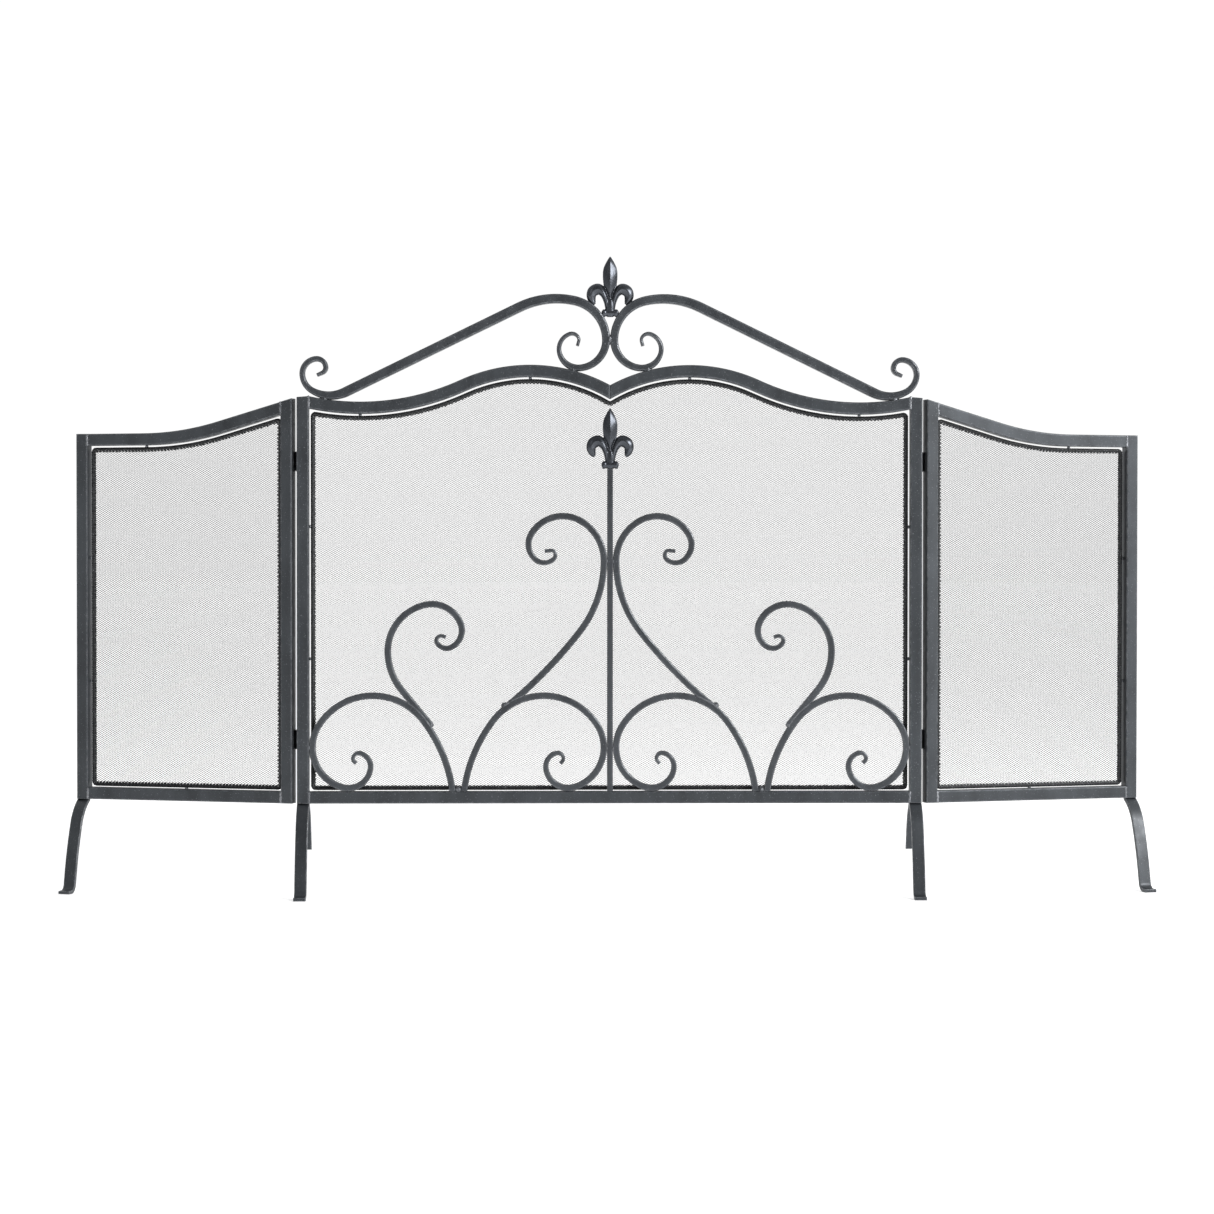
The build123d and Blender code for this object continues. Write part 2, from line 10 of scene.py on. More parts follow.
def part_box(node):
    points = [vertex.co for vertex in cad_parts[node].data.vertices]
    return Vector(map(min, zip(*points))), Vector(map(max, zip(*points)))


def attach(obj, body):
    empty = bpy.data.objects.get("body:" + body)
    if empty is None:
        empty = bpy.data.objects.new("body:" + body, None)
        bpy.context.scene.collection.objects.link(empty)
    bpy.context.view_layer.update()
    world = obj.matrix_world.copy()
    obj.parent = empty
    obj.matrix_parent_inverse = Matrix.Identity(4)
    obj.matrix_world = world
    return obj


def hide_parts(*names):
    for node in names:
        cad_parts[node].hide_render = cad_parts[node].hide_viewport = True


# Looks of a three-panel folding fireplace screen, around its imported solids.
# Metres, +Z up, front towards -Y.
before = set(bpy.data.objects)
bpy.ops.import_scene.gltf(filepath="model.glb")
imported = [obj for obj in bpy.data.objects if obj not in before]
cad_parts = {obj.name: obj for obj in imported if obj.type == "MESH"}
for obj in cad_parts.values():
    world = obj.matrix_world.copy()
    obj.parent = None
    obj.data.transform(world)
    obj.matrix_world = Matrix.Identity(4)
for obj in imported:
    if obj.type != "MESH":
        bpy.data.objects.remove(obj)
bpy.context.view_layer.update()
MM = 0.001
CENTRE = "centre_panel"
WINGS = ("left_wing", "right_wing")


# --- materials --------------------------------------------------------------------------------------
# Noise scales, in waves a metre.
CLOUD_SCALE = 22.0              # slow change of the paint's tone
MARK_SCALE = 60.0               # faint upright marks
PEEL_SCALE = 1400.0             # orange peel of sprayed paint
SPECK_SCALE = 700.0
EDGE_PATCH_SCALE = 140.0               # uneven wear and painted highlight along the edges
GLOSS_SCALE = 90.0              # patches that are more or less glossy
PATCH_SCALE = 260.0             # light and dark stretches of a mesh strand
BARE_SCALE = 900.0              # specks of bare metal on a strand
STRAND_GRAIN_SCALE = 2500.0
FLOOR_SCALE = 3.0

BEVEL_SAMPLES = 4
EDGE_START, EDGE_FULL = 0.995, 0.86     # cosine of the turn at which the edge colour, partly wear and partly painted highlight, starts and is complete
BARE_METAL = (0.3, 0.31, 0.33)


class Nodes:
    """Short way to add and link the nodes of one material."""

    def __init__(self, name):
        self.material = bpy.data.materials.new(name)
        self.material.use_nodes = True
        self.tree = self.material.node_tree
        self.shader = self.tree.nodes["Principled BSDF"]
        self.place = self.add("ShaderNodeTexCoord").outputs["Object"]

    def add(self, kind, **values):
        node = self.tree.nodes.new(kind)
        for key, value in values.items():
            setattr(node, key, value)
        return node

    def link(self, output, socket):
        self.tree.links.new(output, socket)

    def noise(self, scale, detail=3.0, stretch=(1, 1, 1)):
        mapping = self.add("ShaderNodeMapping")
        mapping.inputs["Scale"].default_value = stretch
        self.link(self.place, mapping.inputs["Vector"])
        texture = self.add("ShaderNodeTexNoise")
        texture.inputs["Scale"].default_value = scale
        texture.inputs["Detail"].default_value = detail
        self.link(mapping.outputs["Vector"], texture.inputs["Vector"])
        return texture.outputs["Fac"]

    def ramp(self, source, low, high, low_value=0.0, high_value=1.0):
        node = self.add("ShaderNodeMapRange")
        for key, value in (("From Min", low), ("From Max", high),
                           ("To Min", low_value), ("To Max", high_value)):
            node.inputs[key].default_value = value
        self.link(source, node.inputs["Value"])
        return node.outputs["Result"]

    def mix(self, factor, first, second):
        node = self.add("ShaderNodeMix", data_type="RGBA")
        self.link(factor, node.inputs["Factor"])
        for socket, value in ((node.inputs["A"], first), (node.inputs["B"], second)):
            if isinstance(value, tuple):
                socket.default_value = (*value, 1)
            else:
                self.link(value, socket)
        return node.outputs["Result"]

    def math(self, operation, first, second):
        node = self.add("ShaderNodeMath", operation=operation)
        for socket, value in zip(node.inputs, (first, second)):
            if isinstance(value, (int, float)):
                socket.default_value = value
            else:
                self.link(value, socket)
        return node.outputs["Value"]

    def edges(self, radius):
        """1 along the edges of a shape, 0 on its flat and gently curved faces."""
        bevel = self.add("ShaderNodeBevel", samples=BEVEL_SAMPLES)
        bevel.inputs["Radius"].default_value = radius
        geometry = self.add("ShaderNodeNewGeometry")
        dot = self.add("ShaderNodeVectorMath", operation="DOT_PRODUCT")
        self.link(bevel.outputs["Normal"], dot.inputs[0])
        self.link(geometry.outputs["Normal"], dot.inputs[1])
        return self.ramp(dot.outputs["Value"], EDGE_START, EDGE_FULL)

    def bump(self, *layers, normal=None):
        """Layers of (height, strength, distance in metres)."""
        for height, strength, distance in layers:
            node = self.add("ShaderNodeBump")
            node.inputs["Strength"].default_value = strength
            node.inputs["Distance"].default_value = distance
            self.link(height, node.inputs["Height"])
            if normal:
                self.link(normal, node.inputs["Normal"])
            normal = node.outputs["Normal"]
        self.link(normal, self.shader.inputs["Normal"])

    def rounding(self, radius):
        """Shading normal that rounds off sharp edges by a radius."""
        bevel = self.add("ShaderNodeBevel", samples=BEVEL_SAMPLES)
        bevel.inputs["Radius"].default_value = radius
        return bevel.outputs["Normal"]


def painted_steel(name, dark, light, worn_and_highlight, roughness, metallic, edge_radius, grain=1.0):
    """Sprayed gunmetal paint: clouded colour, fine orange peel, small pits, and bright edges that are partly
    rubbed wear and partly a painted highlight.
    """
    nodes = Nodes(name)
    clouds = nodes.noise(CLOUD_SCALE, 4.0)
    marks = nodes.noise(MARK_SCALE, stretch=(1, 1, 0.08))
    peel = nodes.noise(PEEL_SCALE, 2.0)
    specks = nodes.ramp(nodes.noise(SPECK_SCALE, 2.0), 0.66, 0.74)
    tone = nodes.ramp(nodes.math("ADD", clouds, marks), 0.7, 1.3)
    colour = nodes.mix(tone, dark, light)
    colour = nodes.mix(nodes.math("MULTIPLY", specks, 0.5 * grain), colour, worn_and_highlight)
    # Lighter colour along the edges: partly rubbed wear, partly a painted highlight.
    edge_patches = nodes.ramp(nodes.noise(EDGE_PATCH_SCALE), 0.3, 0.65)
    edge_wear_and_highlight = nodes.math("MULTIPLY", nodes.edges(edge_radius), edge_patches)
    colour = nodes.mix(edge_wear_and_highlight, colour, worn_and_highlight)
    nodes.link(colour, nodes.shader.inputs["Base Color"])
    rough = nodes.ramp(nodes.noise(GLOSS_SCALE, 4.0), 0.25, 0.75, roughness - 0.07, roughness + 0.09)
    smoother = nodes.math("MULTIPLY", edge_wear_and_highlight, 0.12)
    nodes.link(nodes.math("SUBTRACT", rough, smoother), nodes.shader.inputs["Roughness"])
    nodes.shader.inputs["Metallic"].default_value = metallic
    nodes.bump((peel, 0.3 * grain, 0.00006), (clouds, 0.4, 0.0005), normal=nodes.rounding(edge_radius))
    return nodes.material


# The third colour of each paint serves both its pits and worn edges and its painted edge highlight.
FRAME_PAINT = painted_steel("frame_paint", (0.034, 0.038, 0.043), (0.058, 0.065, 0.073),
                            (0.32, 0.335, 0.36), roughness=0.4, metallic=0.4, edge_radius=0.0022)
SCROLL_PAINT = painted_steel("scroll_paint", (0.04, 0.044, 0.05), (0.072, 0.079, 0.088),
                             (0.36, 0.375, 0.4), roughness=0.34, metallic=0.5, edge_radius=0.0018)
RIM_PAINT = painted_steel("rim_paint", (0.012, 0.013, 0.014), (0.024, 0.026, 0.028),
                          (0.16, 0.165, 0.17), roughness=0.45, metallic=0.2, edge_radius=0.0004)
CAST_PAINT = painted_steel("cast_paint", (0.05, 0.055, 0.064), (0.085, 0.092, 0.105),
                           (0.42, 0.435, 0.47), roughness=0.25, metallic=0.8, edge_radius=0.0008, grain=0.25)
WELD_PAINT = painted_steel("weld_paint", (0.09, 0.096, 0.106), (0.22, 0.23, 0.25),
                           (0.55, 0.56, 0.59), roughness=0.3, metallic=0.6, edge_radius=0.0006)
HINGE_PAINT = painted_steel("hinge_paint", (0.02, 0.022, 0.025), (0.045, 0.048, 0.054),
                            (0.22, 0.23, 0.25), roughness=0.42, metallic=0.45, edge_radius=0.0006)


def strand_paint(name, dark, light):
    """Thin dark strands of the mesh, with lighter specks where the paint has missed the metal."""
    nodes = Nodes(name)
    patches = nodes.ramp(nodes.noise(PATCH_SCALE, 2.0), 0.35, 0.7)
    bare = nodes.ramp(nodes.noise(BARE_SCALE, 2.0), 0.64, 0.7)
    colour = nodes.mix(patches, dark, light)
    colour = nodes.mix(bare, colour, BARE_METAL)
    nodes.link(colour, nodes.shader.inputs["Base Color"])
    nodes.link(nodes.ramp(patches, 0, 1, 0.4, 0.58), nodes.shader.inputs["Roughness"])
    nodes.shader.inputs["Metallic"].default_value = 0.4
    nodes.bump((nodes.noise(STRAND_GRAIN_SCALE, 2.0), 0.3, 0.00004))
    return nodes.material


WIRE = strand_paint("mesh_wire", (0.02, 0.022, 0.024), (0.055, 0.058, 0.062))
HEM_WIRE = strand_paint("hem_wire", (0.008, 0.009, 0.01), (0.025, 0.027, 0.03))


# --- making pieces ----------------------------------------------------------------------------------
def add_piece(name, shape, material, body, replaced=(), smooth=True):
    mesh = bpy.data.meshes.new(name)
    mesh.from_pydata(shape.vertices, [], shape.faces)
    mesh.validate()
    mesh.update()
    mesh.polygons.foreach_set("use_smooth", [smooth] * len(mesh.polygons))
    mesh.materials.append(material)
    piece = bpy.data.objects.new(name, mesh)
    bpy.context.scene.collection.objects.link(piece)
    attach(piece, body)
    if replaced:
        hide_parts(*replaced)
    return piece


class Shape:
    """Vertices and faces of one piece while it is put together."""

    def __init__(self):
        self.vertices = []
        self.faces = []

    def ring_strip(self, rings):
        """Skin over a row of rings that have the same number of points, closed at both ends."""
        start, count = len(self.vertices), len(rings[0])
        for ring in rings:
            self.vertices.extend(tuple(point) for point in ring)
        for i in range(len(rings) - 1):
            for j in range(count):
                a, b = start + i * count + j, start + i * count + (j + 1) % count
                self.faces.append((a, b, b + count, a + count))
        last = start + (len(rings) - 1) * count
        self.faces.append(tuple(range(start + count - 1, start - 1, -1)))
        self.faces.append(tuple(range(last, last + count)))

    def strand(self, points, side, width, depth):
        """Four-sided strand along points; side is its width direction at each point."""
        rings = []
        for i, point in enumerate(points):
            before, after = points[max(i - 1, 0)], points[min(i + 1, len(points) - 1)]
            across = np.cross(after - before, side)
            across = across / np.linalg.norm(across) * depth / 2
            half = side * width / 2
            rings.append([point - half - across, point + half - across, point + half + across,
                          point - half + across])
        self.ring_strip(rings)


def island_boxes(node):
    """Centre and size of every separate solid of a CAD node."""
    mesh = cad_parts[node].data
    keys, parent = {}, []
    index = []
    for vertex in mesh.vertices:
        key = tuple(round(c, 6) for c in vertex.co)
        if key not in keys:
            keys[key] = len(parent)
            parent.append(keys[key])
        index.append(keys[key])

    def root(i):
        while parent[i] != i:
            parent[i] = parent[parent[i]]
            i = parent[i]
        return i

    for edge in mesh.edges:
        a, b = (root(index[v]) for v in edge.vertices)
        parent[a] = b
    groups = {}
    for key, i in keys.items():
        groups.setdefault(root(i), []).append(key)
    boxes = []
    for points in groups.values():
        low, high = np.min(points, axis=0), np.max(points, axis=0)
        boxes.append(((low + high) / 2, high - low))
    return sorted(boxes, key=lambda box: tuple(np.round(box[0], 4)))


# --- expanded mesh ----------------------------------------------------------------------------------
STRAND_STEP = 4.4 * MM          # width of one diamond opening
STRAND_RISE = 2.6 * MM          # height of one diamond opening
STRAND_WIDTH = 0.30 * MM
STRAND_DEPTH = 0.56 * MM
STRAND_SHIFT = 0.05 * MM        # strands that lean one way, in front of the middle; the others behind it
STRAND_TUCK = 1.4 * MM          # how far strands run on past the panel's outline, into the hem
HEM_PITCH = 2.2 * MM
HEM_WIDTH = 1.15 * MM
HEM_THICKNESS = 0.32 * MM
HEM_TAIL = (3.7, 4.3)           # shortest and longest tail of the hem's strands, millimetres
WRAP_ANGLES = (100, 60, 20, -20, -60, -100)     # points round the rod, degrees


class Sheet:
    """Plane and outline of a flat CAD mesh panel."""

    def __init__(self, node):
        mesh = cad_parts[node].data
        points = np.array([vertex.co[:] for vertex in mesh.vertices])
        front = [p for p in mesh.polygons if p.normal.y < -0.9]
        self.out = np.mean([p.normal[:] for p in front], axis=0)
        self.out /= np.linalg.norm(self.out)
        self.along = np.cross((0, 0, 1), self.out)
        depths = points @ self.out
        self.origin = self.out * (depths.min() + depths.max()) / 2
        following = {}
        for polygon in front:
            corners = [tuple(np.round(points[v], 6)) for v in polygon.vertices]
            for a, b in zip(corners, corners[1:] + corners[:1]):
                following.setdefault(a, set()).add(b)
        edge = {}
        for a, targets in following.items():
            for b in targets:
                if a not in following.get(b, ()):
                    edge[a] = b
        first = next(iter(edge))
        loop = [first]
        while edge[loop[-1]] != first:
            loop.append(edge[loop[-1]])
        self.loop = np.array([(np.dot(p, self.along), p[2]) for p in loop])

    def point(self, u, z, forward=0.0):
        return self.origin + self.along * u + np.array((0, 0, z)) + self.out * forward

    def spans(self, start, direction):
        """Stretches of a line that lie inside the outline, as pairs of distances from its start."""
        normal = np.array((-direction[1], direction[0]))
        side = (self.loop - start) @ normal
        after = np.roll(side, -1)
        crossing = np.nonzero((side > 0) != (after > 0))[0]
        share = side[crossing] / (side[crossing] - after[crossing])
        ends = np.roll(self.loop, -1, axis=0)[crossing]
        where = self.loop[crossing] + (ends - self.loop[crossing]) * share[:, None]
        distance = np.sort((where - start) @ direction)
        return list(zip(distance[::2], distance[1::2]))


def expanded_mesh(name, body, node):
    """Diamond lattice of straight strands that lean both ways, clipped to the panel's outline."""
    sheet = Sheet(node)
    shape = Shape()
    lean = math.atan2(STRAND_RISE, STRAND_STEP)
    (u_low, z_low), (u_high, z_high) = sheet.loop.min(axis=0), sheet.loop.max(axis=0)
    reach = (z_high - z_low) / math.tan(lean)
    for sign in (1, -1):
        direction = np.array((math.cos(lean), sign * math.sin(lean)))
        width = sheet.along * -direction[1] + np.array((0, 0, direction[0]))
        first = math.floor((u_low - reach) / STRAND_STEP)
        last = math.ceil((u_high + reach) / STRAND_STEP)
        for k in range(first, last + 1):
            start = np.array((k * STRAND_STEP, z_low))
            for near, far in sheet.spans(start, direction):
                if far - near < STRAND_STEP / 2:
                    continue
                ends = [start + direction * t for t in (near - STRAND_TUCK, far + STRAND_TUCK)]
                points = [sheet.point(*end, forward=sign * STRAND_SHIFT) for end in ends]
                shape.strand(points, width, STRAND_WIDTH, STRAND_DEPTH)
    add_piece(name, shape, WIRE, body, (node,), smooth=False)
    return sheet


def rod_of(node, sheet):
    """Radius of the rim's rod, and how far its centre line lies outside the mesh panel's outline."""
    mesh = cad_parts[node].data
    points = np.array([vertex.co[:] for vertex in mesh.vertices])
    depths = points @ sheet.out
    radius = (depths.max() - depths.min()) / 2
    return radius, sheet.loop[:, 1].min() - points[:, 2].min() - radius


def resample(loop, pitch):
    """Points about a pitch apart along a closed loop, each with the direction that points out of it."""
    ends = np.roll(loop, -1, axis=0)
    lengths = np.linalg.norm(ends - loop, axis=1)
    total = lengths.sum()
    count = 2 * round(total / pitch / 2)
    stops = np.concatenate(([0], np.cumsum(lengths)))
    area = 0.5 * np.sum(loop[:, 0] * ends[:, 1] - ends[:, 0] * loop[:, 1])
    turn = 1 if area > 0 else -1
    for k in range(count):
        distance = (k + 0.5) * total / count
        i = min(np.searchsorted(stops, distance, side="right") - 1, len(loop) - 1)
        tangent = (ends[i] - loop[i]) / lengths[i]
        place = loop[i] + tangent * (distance - stops[i])
        yield place, tangent, np.array((tangent[1], -tangent[0])) * turn


def hem(name, body, sheet, rim_node):
    """Edge of the mesh folded round the rim: its strands wrap the rod and end behind the mesh."""
    radius, offset = rod_of(rim_node, sheet)
    wrap = radius + HEM_THICKNESS / 2
    rng = random.Random(name)
    shape = Shape()
    for k, (place, tangent, out) in enumerate(resample(sheet.loop, HEM_PITCH)):
        lean = HEM_PITCH * (0.5 if k % 2 else -0.5)
        tail = rng.uniform(*HEM_TAIL) * MM
        profile = [(-tail, 0.45 * MM), (-0.9 * wrap, 0.6 * wrap)]
        profile += [(wrap * math.cos(a), wrap * math.sin(a)) for a in np.radians(WRAP_ANGLES)]
        profile += [(-0.9 * wrap, -0.6 * wrap), (-tail * 0.8, -0.5 * MM)]
        points = []
        for j, (outward, forward) in enumerate(profile):
            flat = place + out * (offset + outward) + tangent * lean * (j / (len(profile) - 1) - 0.5)
            points.append(sheet.point(*flat, forward=forward))
        side = sheet.along * tangent[0] + np.array((0, 0, tangent[1]))
        shape.strand(points, side, HEM_WIDTH, HEM_THICKNESS)
    add_piece(name, shape, HEM_WIRE, body, smooth=False)


# --- weld beads -------------------------------------------------------------------------------------
WORLD_AXES = np.eye(3)
GROUND_STEP = 1.5 * MM          # along a ground joint
GROUND_FOOT = 1.2 * MM          # lower end of the joint to its first drop
GROUND_HEAD = 0.6 * MM          # upper end of the joint to its last drop, at least
END_REACH = 0.3 * MM            # points this near a rail's end belong to its end face


def lump(shape, centre, radii, seed, roughness=0.18, detail=2, axes=WORLD_AXES):
    """Rounded, slightly uneven drop of weld metal, with its three radii along the axes."""
    ball = bmesh.new()
    bmesh.ops.create_icosphere(ball, subdivisions=detail, radius=1.0)
    start = len(shape.vertices)
    for vertex in ball.verts:
        swell = 1 + roughness * noise.noise(vertex.co * 1.7 + Vector((seed, 2 * seed, 0)))
        reach = np.array(vertex.co) * radii * swell
        shape.vertices.append(tuple(centre + reach @ axes))
    shape.faces.extend(tuple(start + v.index for v in face.verts) for face in ball.faces)
    ball.free()


def beads(name, body, node, spread):
    """Each plain ball of a CAD weld node as a cluster of drops: one large and a few runs round it."""
    shape = Shape()
    rng = random.Random(name)
    for number, (centre, size) in enumerate(island_boxes(node)):
        radius = size[0] / 2
        lump(shape, centre, np.full(3, radius * 0.92), number + 0.3, detail=3)
        for k in range(spread):
            angle = rng.uniform(0, 2 * math.pi)
            shift = radius * rng.uniform(0.35, 0.6)
            drop = centre + np.array((math.cos(angle) * shift, rng.uniform(-0.25, 0.05) * radius,
                                      math.sin(angle) * shift))
            lump(shape, drop, np.full(3, radius * rng.uniform(0.38, 0.52)), number + 7.1 * k)
        ridge = centre + np.array((rng.uniform(-0.15, 0.15), -0.9, rng.uniform(-0.2, 0.2))) * radius
        lump(shape, ridge, np.array((0.22, 0.25, 0.5)) * radius, number + 3.7, roughness=0.4)
    add_piece(name, shape, WELD_PAINT, body, (node,))


def ground_welds(name, body, sheet, rails):
    """Flat ground welds over the joints between rails and stiles, front and back."""
    shape = Shape()
    rng = random.Random(name)
    axes = np.array((sheet.along, sheet.out, (0, 0, 1)))
    for rail in rails:
        points = np.array([vertex.co[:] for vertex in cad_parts[rail].data.vertices])
        across, depth = points @ sheet.along, points @ sheet.out
        ends = [across.min(), across.max()]
        if "centre" in rail and "top" in rail:
            ends = [ends[0] if "left" in rail else ends[1]]
        for end in ends:
            there = points[np.abs(across - end) < END_REACH]
            low, high = there[:, 2].min(), there[:, 2].max()
            for face in (depth.max(), depth.min()):
                for z in np.arange(low + GROUND_FOOT, high - GROUND_HEAD, GROUND_STEP):
                    place = (sheet.along * (end + rng.uniform(-0.4, 0.4) * MM) + sheet.out * face
                             + np.array((0, 0, z)))
                    radii = (rng.uniform(0.9, 1.9) * MM, rng.uniform(0.16, 0.4) * MM,
                             rng.uniform(1.0, 1.7) * MM)
                    lump(shape, place, radii, rng.uniform(0, 9), roughness=0.35, axes=axes)
    add_piece(name, shape, WELD_PAINT, body)


# --- finials ----------------------------------------------------------------------------------------
def section_ring(centre, side, front, half_width, half_depth, squareness, count=20):
    """Closed ring across a bar: squareness 1 is a diamond with a ridge, 2 an ellipse, 4 a soft box."""
    ring = []
    for k in range(count):
        angle = 2 * math.pi * k / count
        c, s = math.cos(angle), math.sin(angle)
        x = math.copysign(abs(c) ** (2 / squareness), c) * half_width
        y = math.copysign(abs(s) ** (2 / squareness), s) * half_depth
        ring.append(centre + side * x + front * y)
    return ring


def smooth_curve(points, count):
    """Evenly spread samples of a Catmull-Rom curve through rows of numbers."""
    points = np.array(points, float)
    padded = np.vstack((2 * points[0] - points[1], points, 2 * points[-1] - points[-2]))
    rows = []
    for t in np.linspace(0, len(points) - 1, count):
        i = min(int(t), len(points) - 2)
        f = t - i
        p0, p1, p2, p3 = padded[i:i + 4]
        rows.append(0.5 * (2 * p1 + (p2 - p0) * f + (2 * p0 - 5 * p1 + 4 * p2 - p3) * f * f
                           + (3 * p1 - p0 - 3 * p2 + p3) * f ** 3))
    return rows


# Rows in millimetres. Petal and stem: height, half width, half depth. Lobe: x, height, half width,
# half depth. Collar: x, half height, half depth.
PETAL = ((20.5, 0.7, 2.4), (25, 3.2, 4.2), (31, 6.0, 5.0), (37, 7.8, 5.8), (45, 8.9, 6.2), (52.5, 9.3, 6.0),
         (60, 8.5, 5.2), (67, 5.6, 3.9), (72.5, 2.4, 2.1), (75.2, 0.5, 0.6))
STEM = ((0.2, 3.4, 3.6), (2, 5.4, 4.8), (9, 5.6, 4.9), (15, 5.9, 4.8), (20, 5.2, 4.2), (24, 2.6, 2.8))
LOBE = ((3.4, 6.0, 2.4, 2.8), (3.8, 13.0, 2.8, 3.6), (5.0, 20.5, 3.5, 4.9), (8.0, 29.0, 4.9, 5.6),
        (14.0, 34.6, 7.0, 5.4), (20.6, 32.6, 7.1, 5.0), (23.3, 27.2, 6.2, 4.5), (22.6, 21.6, 5.0, 3.9),
        (20.6, 17.6, 3.4, 3.0), (19.0, 15.8, 1.6, 1.8))
COLLAR = ((-9.9, 3.6, 4.6), (-8.8, 4.8, 5.8), (-6.4, 4.9, 5.9), (-5.3, 3.9, 5.2), (0, 3.7, 5.1),
          (5.3, 3.9, 5.2), (6.4, 4.9, 5.9), (8.8, 4.8, 5.8), (9.9, 3.6, 4.6))
COLLAR_HEIGHT = 5.0
KNOBS = ((-7.6, -1.6, 5.1), (7.6, -1.6, 5.1))   # swellings on the collar, to each side of the stem
KNOB_RADII = (3.3, 4.4, 4.6)
PETAL_SQUARENESS, STEM_SQUARENESS, LOBE_SQUARENESS, COLLAR_SQUARENESS = 1.1, 2.0, 1.4, 2.8
PETAL_RINGS, LOBE_RINGS = 40, 54
CAST_VOXEL = 0.36 * MM


def fleur(name, node):
    """Cast fleur-de-lis with a ridged middle petal, two curling petals and a banded collar."""
    low, high = (np.array(corner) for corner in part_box(node))
    base = np.array(((low[0] + high[0]) / 2, (low[1] + high[1]) / 2, low[2]))
    shape = Shape()
    forward = np.array((0, -1.0, 0))
    for rows, squareness in ((PETAL, PETAL_SQUARENESS), (STEM, STEM_SQUARENESS)):
        shape.ring_strip([section_ring(base + np.array((0, 0, h)) * MM, np.array((1.0, 0, 0)), forward,
                                       w * MM, d * MM, squareness)
                          for h, w, d in smooth_curve(rows, PETAL_RINGS)])
    for sign in (1, -1):
        rows = smooth_curve(LOBE, LOBE_RINGS)
        places = [base + np.array((sign * x, 0, h)) * MM for x, h, _, _ in rows]
        rings = []
        for i, (_, _, w, d) in enumerate(rows):
            heading = places[min(i + 1, len(rows) - 1)] - places[max(i - 1, 0)]
            side = np.cross(heading, forward)
            side /= np.linalg.norm(side)
            rings.append(section_ring(places[i], side, forward, w * MM, d * MM, LOBE_SQUARENESS))
        shape.ring_strip(rings)
    up = np.array((0, 0, 1.0))
    shape.ring_strip([section_ring(base + np.array((x, 0, COLLAR_HEIGHT)) * MM, up, forward,
                                   w * MM, d * MM, COLLAR_SQUARENESS) for x, w, d in COLLAR])
    for knob in KNOBS:
        lump(shape, base + np.array(knob) * MM, np.array(KNOB_RADII) * MM, 0.0, roughness=0.0, detail=3)
    piece = add_piece(name, shape, CAST_PAINT, CENTRE, (node,))
    merge = piece.modifiers.new("cast", "REMESH")
    merge.mode = "VOXEL"
    merge.voxel_size = CAST_VOXEL
    soften = piece.modifiers.new("soften", "SMOOTH")
    soften.iterations = 2
    soften.factor = 0.5
    apply_modifiers(piece)


def apply_modifiers(piece):
    graph = bpy.context.evaluated_depsgraph_get()
    mesh = bpy.data.meshes.new_from_object(piece.evaluated_get(graph))
    piece.modifiers.clear()
    piece.data = mesh
    mesh.polygons.foreach_set("use_smooth", [True] * len(mesh.polygons))


# --- putting the object together --------------------------------------------------------------------
def paint_nodes():
    """Give every CAD node that stays visible its procedural paint."""
    for name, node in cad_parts.items():
        if "hinge" in name:
            material = HINGE_PAINT
        elif "mesh_rim" in name:
            material = RIM_PAINT
        elif "scroll" in name or "upright" in name:
            material = SCROLL_PAINT
        else:
            material = FRAME_PAINT
        for slot in node.material_slots:
            slot.link = "OBJECT"
            slot.material = material


def panel_meshes():
    panels = [(CENTRE, "centre")] + [(wing, wing) for wing in WINGS]
    for body, prefix in panels:
        sheet = expanded_mesh(prefix + "_expanded_mesh", body, prefix + "_mesh")
        hem(prefix + "_mesh_hem", body, sheet, prefix + "_mesh_rim")
        rails = [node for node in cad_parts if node.startswith(prefix) and node.endswith("_rail")]
        ground_welds(prefix + "_ground_welds", body, sheet, rails)


def all_beads():
    beads("scroll_weld_beads", CENTRE, "scroll_welds", 4)
    beads("crest_weld_beads", CENTRE, "crest_welds", 5)
    beads("centre_tack_beads", CENTRE, "centre_rim_tacks", 2)
    for wing in WINGS:
        beads(wing + "_tack_beads", wing, wing + "_rim_tacks", 2)


paint_nodes()
panel_meshes()
all_beads()
fleur("crest_fleur", "crest_finial")
fleur("upright_fleur", "bar_finial")


# --- floor, light and camera ------------------------------------------------------------------------
FLOOR_REACH = 60.0
FLOOR_COLOUR = (0.93, 0.93, 0.93)
FLOOR_GLOW = 0.42
# Strength of the sky by the Y of its direction: dim in front of the screen, bright behind it.
SKY_FADE = {"From Min": -0.5, "From Max": 0.3, "To Min": 0.16, "To Max": 1.02}
CAMERA_LENS = 85.2
CAMERA_SENSOR = 36.0
CAMERA_PLACE = (-0.0724, -3.5827, 0.4127)
CAMERA_TURN = (1.103, -0.865, 0.03)     # yaw to the right, pitch up, roll, degrees


def stage_plane(name, reach, material):
    corners = [(-reach, -reach, 0), (reach, -reach, 0), (reach, reach, 0), (-reach, reach, 0)]
    mesh = bpy.data.meshes.new(name)
    mesh.from_pydata(corners, [], [(0, 1, 2, 3)])
    mesh.materials.append(material)
    plane = bpy.data.objects.new(name, mesh)
    bpy.context.scene.collection.objects.link(plane)


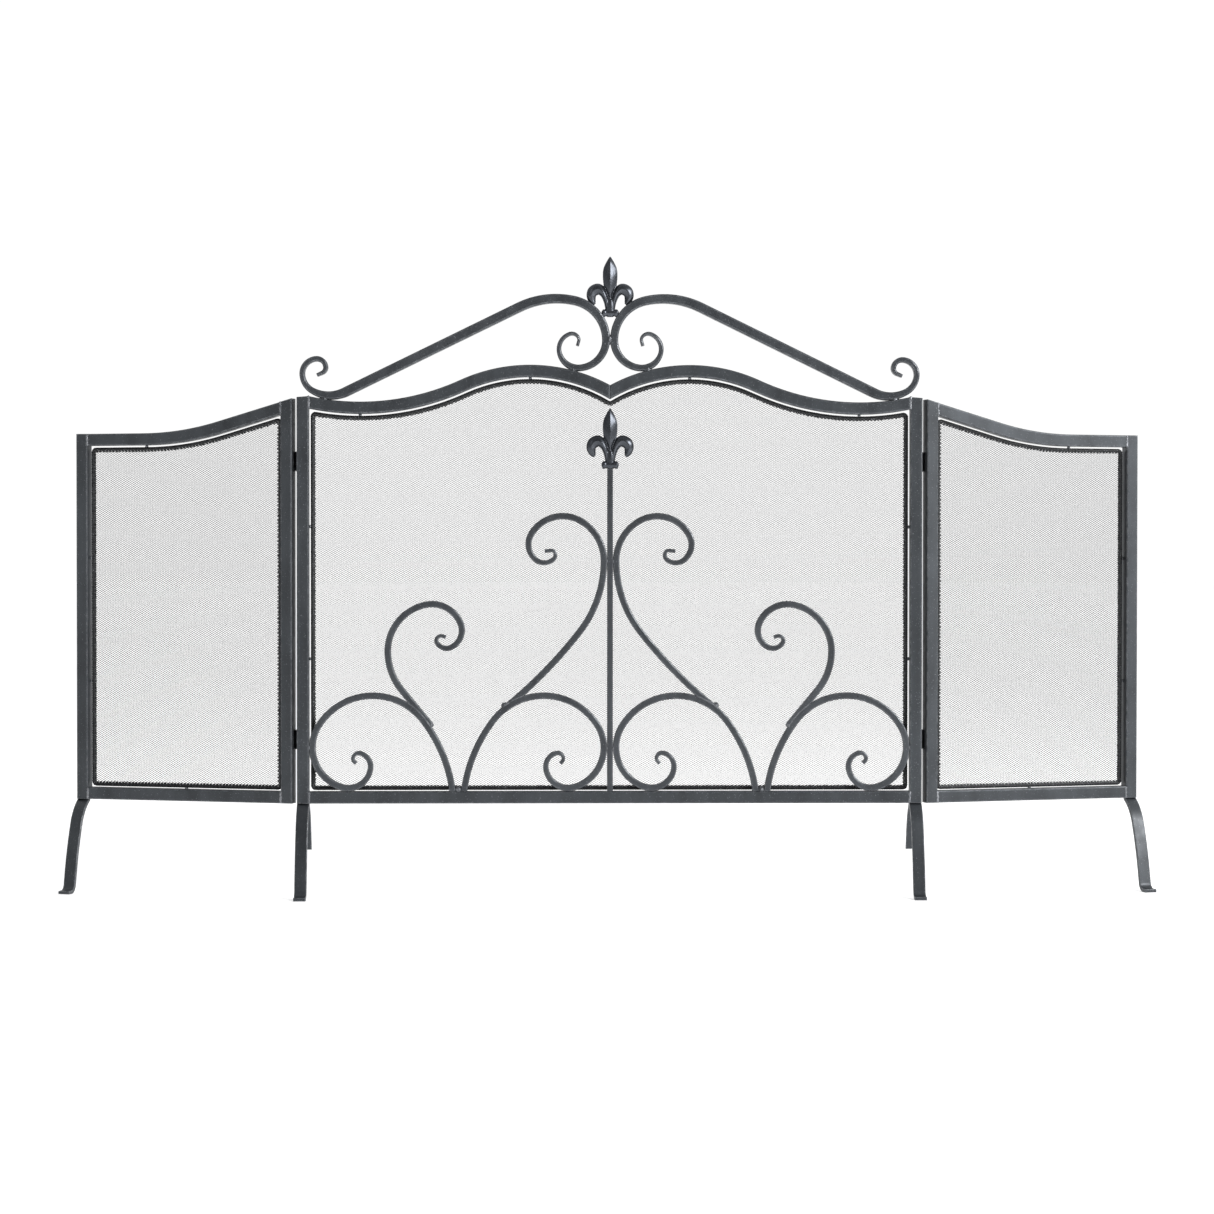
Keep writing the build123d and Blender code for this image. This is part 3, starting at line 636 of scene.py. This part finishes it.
def floor_material(name):
    nodes = Nodes(name)
    tone = nodes.mix(nodes.noise(FLOOR_SCALE), FLOOR_COLOUR, tuple(c * 0.98 for c in FLOOR_COLOUR))
    nodes.link(tone, nodes.shader.inputs["Base Color"])
    nodes.shader.inputs["Roughness"].default_value = 0.7
    nodes.shader.inputs["Specular IOR Level"].default_value = 0.1
    nodes.shader.inputs["Emission Color"].default_value = (1, 1, 1, 1)
    nodes.shader.inputs["Emission Strength"].default_value = FLOOR_GLOW
    return nodes.material


def area_light(name, place, target, size, power):
    light = bpy.data.lights.new(name, "AREA")
    light.shape = "RECTANGLE"
    light.size, light.size_y = size
    light.energy = power
    lamp = bpy.data.objects.new(name, light)
    bpy.context.scene.collection.objects.link(lamp)
    lamp.location = place
    lamp.rotation_euler = (Vector(target) - Vector(place)).to_track_quat("-Z", "Y").to_euler()


stage_plane("floor", FLOOR_REACH, floor_material("floor_white"))
world = bpy.data.worlds.new("studio")
world.use_nodes = True
sky = world.node_tree
heading = sky.nodes.new("ShaderNodeTexCoord")
split = sky.nodes.new("ShaderNodeSeparateXYZ")
fade = sky.nodes.new("ShaderNodeMapRange")
for socket, value in SKY_FADE.items():
    fade.inputs[socket].default_value = value
sky.links.new(heading.outputs["Generated"], split.inputs["Vector"])
sky.links.new(split.outputs["Y"], fade.inputs["Value"])
sky.nodes["Background"].inputs["Color"].default_value = (1, 1, 1, 1)
sky.links.new(fade.outputs["Result"], sky.nodes["Background"].inputs["Strength"])
bpy.context.scene.world = world
area_light("key", (3.1, -2.2, 2.1), (0.5, 0, 0.4), (2.0, 1.6), 150)
area_light("fill", (-2.8, -2.6, 2.4), (-0.2, 0, 0.4), (1.2, 2.0), 8)

camera = bpy.data.cameras.new("camera")
camera.sensor_width = CAMERA_SENSOR
camera.lens = CAMERA_LENS
camera_object = bpy.data.objects.new("camera", camera)
bpy.context.scene.collection.objects.link(camera_object)
yaw, pitch, roll = (math.radians(angle) for angle in CAMERA_TURN)
camera_object.matrix_world = (Matrix.Translation(CAMERA_PLACE)
                              @ Matrix.Rotation(-yaw, 4, "Z")
                              @ Matrix.Rotation(math.pi / 2 + pitch, 4, "X")
                              @ Matrix.Rotation(roll, 4, "Z"))
bpy.context.scene.camera = camera_object
bpy.context.scene.view_settings.view_transform = "Standard"
